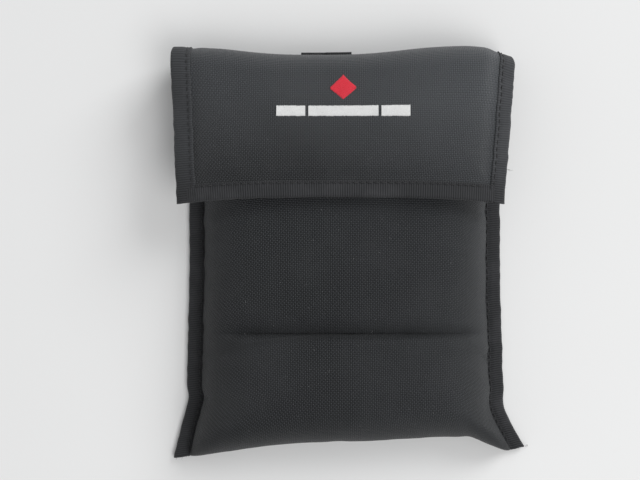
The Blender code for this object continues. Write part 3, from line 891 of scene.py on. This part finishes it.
def strip_surface(u, q, depth):
    """Point of the flap strip; u runs from -1 at the left cut edge to 1 at the right."""
    side = -1.0 if u < 0 else 1.0
    half = flap_half(side, q)
    share = flap_share(q)
    length = q - Q_FLAP
    x = FLAP_CENTRE * smooth((q - BACK_RUN) / WALL_RUN) + u * half
    inward = min(half * (1.0 - abs(u)), max(Q_END - q, 0.0))
    pinch = EDGE_PINCH + (1.0 - EDGE_PINCH) * smooth((inward - PINCH_START) / (6.0 * MM))
    middle = STACK / 2
    puff = PUFF * smooth((inward - 8.0 * MM) / (16.0 * MM)) if depth > middle else 0.0
    level = middle + (depth - middle) * pinch + puff * smooth((q - BACK_RUN) / (8.0 * MM))
    if q < Q_TOP:
        level -= STRAP_HOLLOW * beside_strap(x) * (1.0 - smooth((q - BACK_RUN + 1.0 * MM) / (7.0 * MM)))
    y, z = strip_path(q, level)

    on_flap = smooth(length / (24.0 * MM))
    near_fold = 1.0 - smooth(length / (26.0 * MM))
    near_fold *= smooth((q - BACK_RUN) / (14.0 * MM))
    if u > 0:
        corner = -RIGHT_CORNER_DRAW * smooth((u - 0.86) / 0.16)
    else:
        corner = LEFT_CORNER_PUSH * smooth((-u - 0.75) / 0.2)
    y += (corner - fold_dip(u)) * near_fold
    y += (FRONT_SET - FRONT_BOW * abs(u) ** 3) * share ** 2

    up_wall = smooth((q - Q_WALL) / WALL_RUN)
    fall = FLAP_DROOP * abs(u) ** DROOP_POWER * (on_flap * 0.9 + 0.25 * near_fold * up_wall)
    fall += SIDE_FALL * smooth((u - 0.8) / 0.25) * near_fold * smooth((q - Q_SPLIT) / (12.0 * MM))
    fall += FOLD_SINK * (1.0 - smooth(length / (34.0 * MM))) * smooth((q - Q_SPLIT) / (Q_FLAP - Q_SPLIT))
    z -= fall

    edge_gather = smooth(1.0 - (inward - 4.0 * MM) / (14.0 * MM)) * smooth(length / (8.0 * MM))
    waves = 0.45 * MM * ripple(x, y, 34.0 * MM, 61.0) * on_flap
    waves += 0.30 * MM * ripple(x, y, 8.0 * MM, 62.0) * edge_gather
    return (x, y, z + waves)


def surface_normal(u, q, depth):
    """Outward direction of the strip's surface."""
    here = Vector(strip_surface(u, q, depth))
    beside = Vector(strip_surface(min(u + 0.004, 1.0) if u < 0.99 else u - 0.004, q, depth))
    ahead = Vector(strip_surface(u, q - 0.3 * MM, depth))
    across = beside - here if u < 0.99 else here - beside
    return across.cross(ahead - here).normalized()


def strip_columns(steps, margin=0.0):
    """Values of u, closer together towards the cut edges."""
    limit = 1.0 - margin
    return [limit * math.sin(math.pi / 2 * (2.0 * k / steps - 1.0)) for k in range(steps + 1)]


def cross_folds(piece, part):
    """Bake a piece's placement into its mesh, for a piece of the bridge and of the flap alike."""
    if part == "bridge":
        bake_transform(piece)
    else:
        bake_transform(piece)


def span_fold(piece, part, node):
    """Bake a piece's placement into its mesh, in place of a plain node."""
    cross_folds(piece, part)
    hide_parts(node)


def strip_layers():
    """Fabric, foam and lining of the bridge and flap, parted halfway up the bridge."""
    width = 150
    levels = (
        ("outer_fabric", STACK - SHELL / 2, SHELL, BRIDGE_NYLON, FLAP_NYLON, "nylon", 0.0, 0.0, "panel"),
        ("foam", LINING + PADDING / 2 + 0.3 * MM, PADDING, FOAM, FOAM, "foam", 0.13, 10.0 * MM, "padding"),
        ("lining", LINING / 2, LINING, LINING_CLOTH, LINING_CLOTH, "lining", 0.0, 0.0, "lining"),
    )
    for word, depth, thickness, bridge_cloth, flap_cloth, slot, margin, short, node in levels:
        parts = (
            ("bridge", 0.2 * MM, Q_SPLIT, 60, bridge_cloth),
            ("flap", Q_SPLIT, Q_END - short, 190, flap_cloth),
        )
        for part, low, high, steps, finish in parts:
            piece = cloth_sheet(f"{part}_{word}", lambda u, q: strip_surface(u, q, depth),
                                strip_columns(width, margin), evenly(high, low, steps), thickness, finish)
            span_fold(piece, part, f"{part}_{node}")


TAPE_BEYOND = 1.1 * MM
TAPE_LOW = STACK / 2 - 1.45 * MM
TAPE_HIGH = STACK / 2 + 1.45 * MM
LEFT_TAPE_WIDTH = 8.4 * MM
RIGHT_TAPE_WIDTH = 6.6 * MM
FRONT_TAPE_WIDTH = 6.9 * MM


def unpinched(depth):
    """Depth that strip_surface brings back to the given one where the edge is pinched."""
    return (depth - STACK / 2) / EDGE_PINCH + STACK / 2


def tape_depth(distance, depth, line):
    """Depth of a folded tape: its top leg lifts towards the padding, and its stitches draw it down."""
    stretch = unpinched(depth)
    if depth > STACK / 2 and distance > 0:
        stretch += 0.5 * MM * smooth((distance - 5.0 * MM) / (3.0 * MM))
        stretch -= stitched_down(distance, line) / EDGE_PINCH
    return stretch


def side_strip_tapes(word, side, width):
    """Tapes round one side of the bridge and the flap, and their stitches."""
    line = width - 1.7 * MM
    section = tape_section(width, TAPE_LOW, TAPE_HIGH, TAPE_BEYOND)

    def tape(index, q):
        distance, depth = section[index]
        u = side * (1.0 - distance / flap_half(side, q))
        return strip_surface(u, q, tape_depth(distance, depth, line))

    parts = (
        ("bridge", BACK_RUN * 0.6, Q_SPLIT, Q_SPLIT, 50, f"bridge_{word}_thread"),
        ("flap", Q_SPLIT, Q_END + 1.2 * MM, Q_END - 1.0 * MM, 160, "flap_thread"),
    )
    for part, lowest, highest, last_stitch, steps, thread_node in parts:
        rows = evenly(highest, lowest, steps)
        piece = cloth_sheet(f"{part}_{word}_tape", tape, range(len(section)), rows, TAPE, FLAP_TAPE_RIBS)
        span_fold(piece, part, f"{part}_{word}_binding")
        lift = unpinched(TAPE_HIGH + TAPE / 2) - 0.35 * MM / EDGE_PINCH
        route = []
        for q in evenly(lowest, last_stitch, 120):
            u = side * (1.0 - line / flap_half(side, q))
            route.append((Vector(strip_surface(u, q, lift)), surface_normal(u, q, lift)))
        span_fold(stitch_row(f"{part}_{word}_stitches", route, THREAD), part, thread_node)


def front_strip_tape():
    """Tape round the flap's front edge, and its stitches."""
    line = FRONT_TAPE_WIDTH - 1.0 * MM
    section = tape_section(FRONT_TAPE_WIDTH, TAPE_LOW, TAPE_HIGH, TAPE_BEYOND)

    def tape(u, index):
        distance, depth = section[index]
        return strip_surface(u, Q_END - distance, tape_depth(distance, depth, line) + 0.25 * MM)

    piece = cloth_sheet("flap_front_tape", tape, strip_columns(260, 0.055), range(len(section)), TAPE,
                        TAPE_RIBS, turned=True)
    mount(piece, "flap", "flap_front_binding")
    lift = unpinched(TAPE_HIGH + TAPE / 2) - 0.1 * MM / EDGE_PINCH
    route = []
    for u in strip_columns(200, 0.095):
        route.append((Vector(strip_surface(u, Q_END - line, lift)), surface_normal(u, Q_END - line, lift)))
    mount(stitch_row("flap_front_stitches", route, THREAD), "flap", "flap_thread")


def strip_tapes():
    """Tapes round the strip's cut edges."""
    for (word, side), width in zip(SIDES, (LEFT_TAPE_WIDTH, RIGHT_TAPE_WIDTH)):
        side_strip_tapes(word, side, width)
    front_strip_tape()


# ---- Closure ----

HOOK_ROWS = 13
HOOK_COLUMNS = 62
HOOK_STEPS = 3
HOOK_SIDE_GAP = 1.6 * MM
HOOK_END_GAP = 1.4 * MM
HOOK_GROUND = -0.45 * MM
HOOK_ROOT = -0.7 * MM
HOOK_HALF = 0.09 * MM
HOOK_HEIGHT = 0.55 * MM
HOOK_LEAN = 0.28 * MM
CLOSURE_INSET = 1.3 * MM
LEFT_END, CLOSURE_LOW = hook_low[:2]
RIGHT_END, CLOSURE_HIGH = hook_high[:2]


def on_strip(x, y, depth):
    """Point of the flap strip above a place on the table."""
    q = Q_FLAP + Y_BRIDGE - OUTER_CORNER - y
    half = flap_half(-1.0 if x < FLAP_CENTRE else 1.0, q)
    return strip_surface((x - FLAP_CENTRE) / half, q, depth)


def pile_point(x, y):
    """Point of the loop strip, which lies on the front wall under the flap."""
    rough = 0.12 * MM * ripple(x, y, 0.8 * MM, 71.0)
    return front_point(x / (SIDE_HALF - SEAM_INSET), y, -(SHELL / 2 + 0.5 * MM) - rough)


def along_legs(legs, steps):
    """Points along straight legs, with a number of steps for each."""
    for ((xa, ya), (xb, yb)), count in zip(legs, steps):
        for k in range(count):
            yield xa + (xb - xa) * k / count, ya + (yb - ya) * k / count


def loop_strip():
    """Loop tape on the pouch, sewn on all round."""
    strip = cloth_sheet("loop_strip_pile", pile_point, evenly(LEFT_END, RIGHT_END, 240),
                        evenly(CLOSURE_LOW, CLOSURE_HIGH, 48), PILE_TAPE, PILE)
    mount(strip, "pouch", "loop_strip")
    left, right = LEFT_END + CLOSURE_INSET, RIGHT_END - CLOSURE_INSET
    low, high = CLOSURE_LOW + CLOSURE_INSET, CLOSURE_HIGH - CLOSURE_INSET
    corners = [(left, low), (right, low), (right, high), (left, high)]
    legs = list(zip(corners, corners[1:] + corners[:1]))
    route = [(Vector(pile_point(x, y)) + Vector((0, 0, 0.4 * MM)), Vector((0, 0, 1)))
             for x, y in along_legs(legs, (60, 12, 60, 12))]
    stitches = stitch_row("loop_strip_stitches", route + route[:1], THREAD)
    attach(stitches, "pouch")


def hook_strip():
    """Hook tape under the flap: a ground and rows of small bent hooks."""
    base = cloth_sheet("hook_strip_base", lambda x, y: on_strip(x, y, HOOK_GROUND),
                       evenly(RIGHT_END, LEFT_END, 80), evenly(CLOSURE_LOW, CLOSURE_HIGH, 20),
                       HOOK_TAPE, HOOKS)
    mount(base, "flap", "hook_strip")
    rows = evenly(CLOSURE_LOW + HOOK_END_GAP, CLOSURE_HIGH - HOOK_END_GAP, HOOK_ROWS - 1)
    columns = evenly(LEFT_END + HOOK_SIDE_GAP, RIGHT_END - HOOK_SIDE_GAP, HOOK_COLUMNS - 1)
    points, faces, cloth = [], [], []
    for row, y in enumerate(rows):
        for column, x in enumerate(columns):
            root = Vector(on_strip(x, y, HOOK_ROOT))
            lean = HOOK_LEAN if (row + column) % 2 else -HOOK_LEAN
            start = len(points)
            for t in evenly(0.0, 1.0, HOOK_STEPS):
                drop = HOOK_HEIGHT * math.sin(math.pi * 0.62 * t)
                centre = root + Vector((lean * math.sin(math.pi * t), 0.0, -drop))
                for corner_x, corner_y in ((-1, 1), (1, 1), (1, -1), (-1, -1)):
                    points.append(centre + Vector((corner_x, corner_y, 0)) * HOOK_HALF)
                    cloth.append((x, y, 0.0))
            close_tube(faces, start, HOOK_STEPS + 1, 4)
    mount(make_object("hook_strip_hooks", points, faces, cloth, HOOKS), "flap", "hook_strip")


# ---- Belt loop ----

STRAP_LEFT, STRAP_LOW = strap_low[:2]
STRAP_RIGHT = strap_high[0]
STRAP_HIGH = Y_BRIDGE - INNER_CORNER - BACK_RUN
STRAP_MARGIN = 2.6 * MM
BOX_HEIGHT = 16.0 * MM


def box_stitch(word, low):
    """A sewn square with a cross in it, on the strap."""
    left, right = STRAP_LEFT + STRAP_MARGIN, STRAP_RIGHT - STRAP_MARGIN
    high = low + BOX_HEIGHT
    box = [(left, low), (right, low), (right, high), (left, high), (left, low)]
    cross = [(right, high), (right, low), (left, high)]
    legs = list(zip(box + cross, box[1:] + cross))
    route = [(Vector((x, y, 0.78 * MM)), Vector((0, 0, -1))) for x, y in along_legs(legs, [20] * len(legs))]
    stitches = stitch_row(f"belt_strap_{word}_stitches", route, THREAD)
    mount(stitches, "pouch", f"belt_loop_{word}_thread")


def strap():
    """Webbing strap on the back, whose upper end is sewn up over the fold."""
    def flat(x, y):
        return (x, y, 1.45 * MM + 0.08 * MM * ripple(x, y, 9.0 * MM, 81.0))

    def over(x, t):
        cut = 2.0 * MM if x < (STRAP_LEFT + STRAP_RIGHT) / 2 else 0.8 * MM
        q = t * (Q_TOP - cut)
        across = (x - FLAP_CENTRE * smooth((q - BACK_RUN) / WALL_RUN)) / flap_half(-1.0, q)
        return strip_surface(across, q, STACK + STRAP / 2 + 0.15 * MM)

    columns = evenly(STRAP_LEFT, STRAP_RIGHT, 24)
    lower = cloth_sheet("belt_strap", flat, columns, evenly(STRAP_LOW, STRAP_HIGH, 90), STRAP, WEBBING,
                        rim=0.3 * MM)
    mount(lower, "pouch", "belt_loop")
    tail = cloth_sheet("belt_strap_tail", over, columns, evenly(0.0, 1.0, 60), STRAP, WEBBING)
    cross_folds(tail, "bridge")
    box_stitch("lower", STRAP_LOW + STRAP_MARGIN)
    box_stitch("upper", STRAP_HIGH - 1.0 * MM - BOX_HEIGHT)


# ---- Embroidery ----

STRAND = 0.22 * MM
STRAND_PITCH = 0.40 * MM
SATIN_HEIGHT = 0.5 * MM
EMBLEM_SHIFT = 2.2 * MM
BAR_OVERSEW = 0.4 * MM


def embroidered(name, node, finish, columns):
    """Satin stitch: a raised strand for each (x, low y, high y)."""
    points, faces, cloth = [], [], []
    sides, stations = 6, 8
    for x, low, high in columns:
        base = len(points)
        jitter = (rng.random() - 0.5) * 0.25 * MM
        for station in range(stations + 1):
            t = station / stations
            y = low + (high - low) * t + jitter
            ground = Vector(on_strip(x, y, STACK))
            arch = math.sin(math.pi * t) ** 0.35
            for k in range(sides):
                angle = math.pi * k / (sides - 1)
                off_x = -STRAND * 1.15 * math.cos(angle)
                lift = (0.15 * MM + SATIN_HEIGHT * arch) * (0.35 + 0.65 * math.sin(angle)) - 0.1 * MM
                points.append(ground + Vector((off_x, 0.0, lift)))
                cloth.append((off_x, y, 0.0))
        close_tube(faces, base, stations + 1, sides)
    mount(make_object(name, points, faces, cloth, finish), "flap", node)


def emblem():
    """Red diamond over three white bars."""
    centre_x = (diamond_low[0] + diamond_high[0]) / 2 + EMBLEM_SHIFT
    centre_y = (diamond_low[1] + diamond_high[1]) / 2
    half_w = (diamond_high[0] - diamond_low[0]) / 2
    half_h = (diamond_high[1] - diamond_low[1]) / 2
    count = int(2 * half_w / STRAND_PITCH)
    columns = []
    for k in range(1, count):
        offset = -half_w + 2 * half_w * k / count
        reach = half_h * (1.0 - abs(offset) / half_w)
        if reach > 0.5 * MM:
            columns.append((centre_x + offset, centre_y - reach, centre_y + reach))
    embroidered("emblem_diamond_satin", "emblem_diamond", RED, columns)
    for word in ("left", "middle", "right"):
        low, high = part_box(f"emblem_{word}_bar")
        count = int((high[0] - low[0]) / STRAND_PITCH)
        xs = [low[0] + EMBLEM_SHIFT + (high[0] - low[0]) * (k + 0.5) / count for k in range(count)]
        columns = [(x, low[1] - BAR_OVERSEW, high[1] + BAR_OVERSEW) for x in xs]
        embroidered(f"emblem_{word}_bar_satin", f"emblem_{word}_bar", WHITE, columns)


# ---- Loose fibres ----

def fibre(points, faces, cloth, route, radius):
    """Add one thin fibre along route, thinner towards its tip."""
    base = len(points)
    for index, point in enumerate(route):
        ahead = route[min(index + 1, len(route) - 1)] - route[max(index - 1, 0)]
        side = ahead.cross(Vector((0.2, 0.1, 1.0))).normalized()
        up = side.cross(ahead).normalized()
        thin = radius * (1.0 - 0.6 * index / len(route))
        for k in range(4):
            angle = math.pi / 2 * k
            points.append(point + side * thin * math.cos(angle) + up * thin * math.sin(angle))
            cloth.append((0.0, index * 0.001, 0.0))
    close_tube(faces, base, len(route), 4)


def scatter(x, y, z):
    """A seeded random offset, up to half of each size either way."""
    return Vector(((rng.random() - 0.5) * x, (rng.random() - 0.5) * y, (rng.random() - 0.5) * z))


FRAY_RADIUS = 0.07 * MM
LINT_RADIUS = 0.09 * MM


def frayed_end(points, faces, cloth, root, way, count, length):
    """Short fibres that stand out of a tape's cut end."""
    for _ in range(count):
        start = root + scatter(6.0, 0.5, 1.6) * MM
        heading = (way + scatter(1.1, 1.1, 1.1)).normalized()
        reach = length * (0.4 + rng.random())
        bend = Vector((rng.random() - 0.5, rng.random() - 0.5, rng.random() * 0.2)) * reach
        route = [start + heading * reach * t + bend * t * t for t in evenly(0.0, 1.0, 5)]
        fibre(points, faces, cloth, route, FRAY_RADIUS)


def flap_fibres(points, faces, cloth):
    """Frayed ends of the flap's tapes."""
    for side in (-1.0, 1.0):
        root = Vector(strip_surface(side * 0.955, Q_END, STACK / 2))
        frayed_end(points, faces, cloth, root, Vector((0.15 * side, -1.0, -0.1)), 14, 1.3 * MM)
    for q in (Q_END - 6.0 * MM, Q_END - 15.0 * MM, Q_END - 38.0 * MM):
        root = Vector(strip_surface(1.0, q, STACK / 2)) - Vector((1.0, 0.0, 0.0)) * MM
        frayed_end(points, faces, cloth, root, Vector((1.0, -0.3, 0.0)), 3, 2.6 * MM)


def pouch_fibres(points, faces, cloth):
    """Frayed lower ends of the pouch's side tapes."""
    for side in (-1.0, 1.0):
        y = Y_CORNER + (0.4 if side < 0 else 6.0) * MM
        root = Vector((side * (edge_half(side, Y_CORNER) - 3.6 * MM), y, 2.0 * MM))
        frayed_end(points, faces, cloth, root, Vector((0.2 * side, -1.0, 0.0)), 14, 1.2 * MM)


def front_lint(points, faces, cloth):
    """Lint on the front."""
    for _ in range(26):
        s = (rng.random() - 0.5) * 1.5
        y = -80.0 * MM + rng.random() * 105.0 * MM
        start = Vector(front_point(s, y, -0.62 * MM))
        angle = rng.random() * 2 * math.pi
        reach = (0.3 + rng.random() * 0.8) * MM
        way = Vector((math.cos(angle), math.sin(angle), 0.0)) * reach
        bend = Vector((-way.y, way.x, 0.0)) * (rng.random() - 0.5)
        route = [start + way * t + bend * t * t for t in evenly(0.0, 1.0, 4)]
        fibre(points, faces, cloth, route, LINT_RADIUS)


def loose_fibres():
    """Frayed tape ends on the flap and the pouch, and lint on the front."""
    kinds = (
        ("flap_frayed_fibres", flap_fibres, THREAD, "flap"),
        ("pouch_frayed_fibres", pouch_fibres, THREAD, "pouch"),
        ("lint_on_front", front_lint, LINT, "pouch"),
    )
    for name, fill, finish, body in kinds:
        points, faces, cloth = [], [], []
        fill(points, faces, cloth)
        piece = make_object(name, points, faces, cloth, finish)
        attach(piece, body)


# ---- Table, light and camera ----

TABLE_REACH = 3.0
TABLE_GAP = 0.05 * MM
ROOM_COLOUR = (0.985, 0.99, 1.0, 1.0)
ROOM_STRENGTH = 0.47
LAMPS = (
    ("window", (2.7, 2.4, 2.2), 2.2, 104.0, (0.985, 0.995, 1.0)),
    ("ceiling", (1.10, -1.20, 2.5), 1.8, 36.0, (1.0, 1.0, 1.0)),
)
CAMERA_PLACE = (-13.1 * MM, 8.1 * MM, 550.0 * MM)
SENSOR_WIDTH = 36.0
LENS = 59.5


def table():
    """Pale table just under the pouch."""
    mesh = bpy.data.meshes.new("table")
    signs = ((-1, -1), (1, -1), (1, 1), (-1, 1))
    mesh.from_pydata([(x * TABLE_REACH, y * TABLE_REACH, 0) for x, y in signs], [], [(0, 1, 2, 3)])
    mesh.materials.append(table_top())
    top = bpy.data.objects.new("table", mesh)
    top.location.z = -TABLE_GAP
    bpy.context.scene.collection.objects.link(top)


def studio():
    """Soft room light, a window at the upper right, a ceiling lamp, and a camera straight above."""
    scene = bpy.context.scene
    scene.view_settings.view_transform = "Standard"
    scene.view_settings.look = "None"
    world = bpy.data.worlds.new("room")
    world.use_nodes = True
    background = world.node_tree.nodes["Background"]
    background.inputs["Color"].default_value = ROOM_COLOUR
    background.inputs["Strength"].default_value = ROOM_STRENGTH
    scene.world = world
    for name, place, size, power, colour in LAMPS:
        light = bpy.data.lights.new(name, "AREA")
        light.size = size
        light.energy = power
        light.color = colour
        lamp = bpy.data.objects.new(name, light)
        lamp.location = place
        lamp.rotation_euler = (-Vector(place)).to_track_quat("-Z", "Y").to_euler()
        scene.collection.objects.link(lamp)
    camera_data = bpy.data.cameras.new("camera")
    camera_data.sensor_width = SENSOR_WIDTH
    camera_data.lens = LENS
    camera_data.clip_start = 0.01
    camera = bpy.data.objects.new("camera", camera_data)
    camera.location = CAMERA_PLACE
    scene.collection.objects.link(camera)
    scene.camera = camera


table()
studio()
pouch_cloth()
side_tapes()
mouth_tape()
strip_layers()
strip_tapes()
hook_strip()
loop_strip()
strap()
emblem()
loose_fibres()
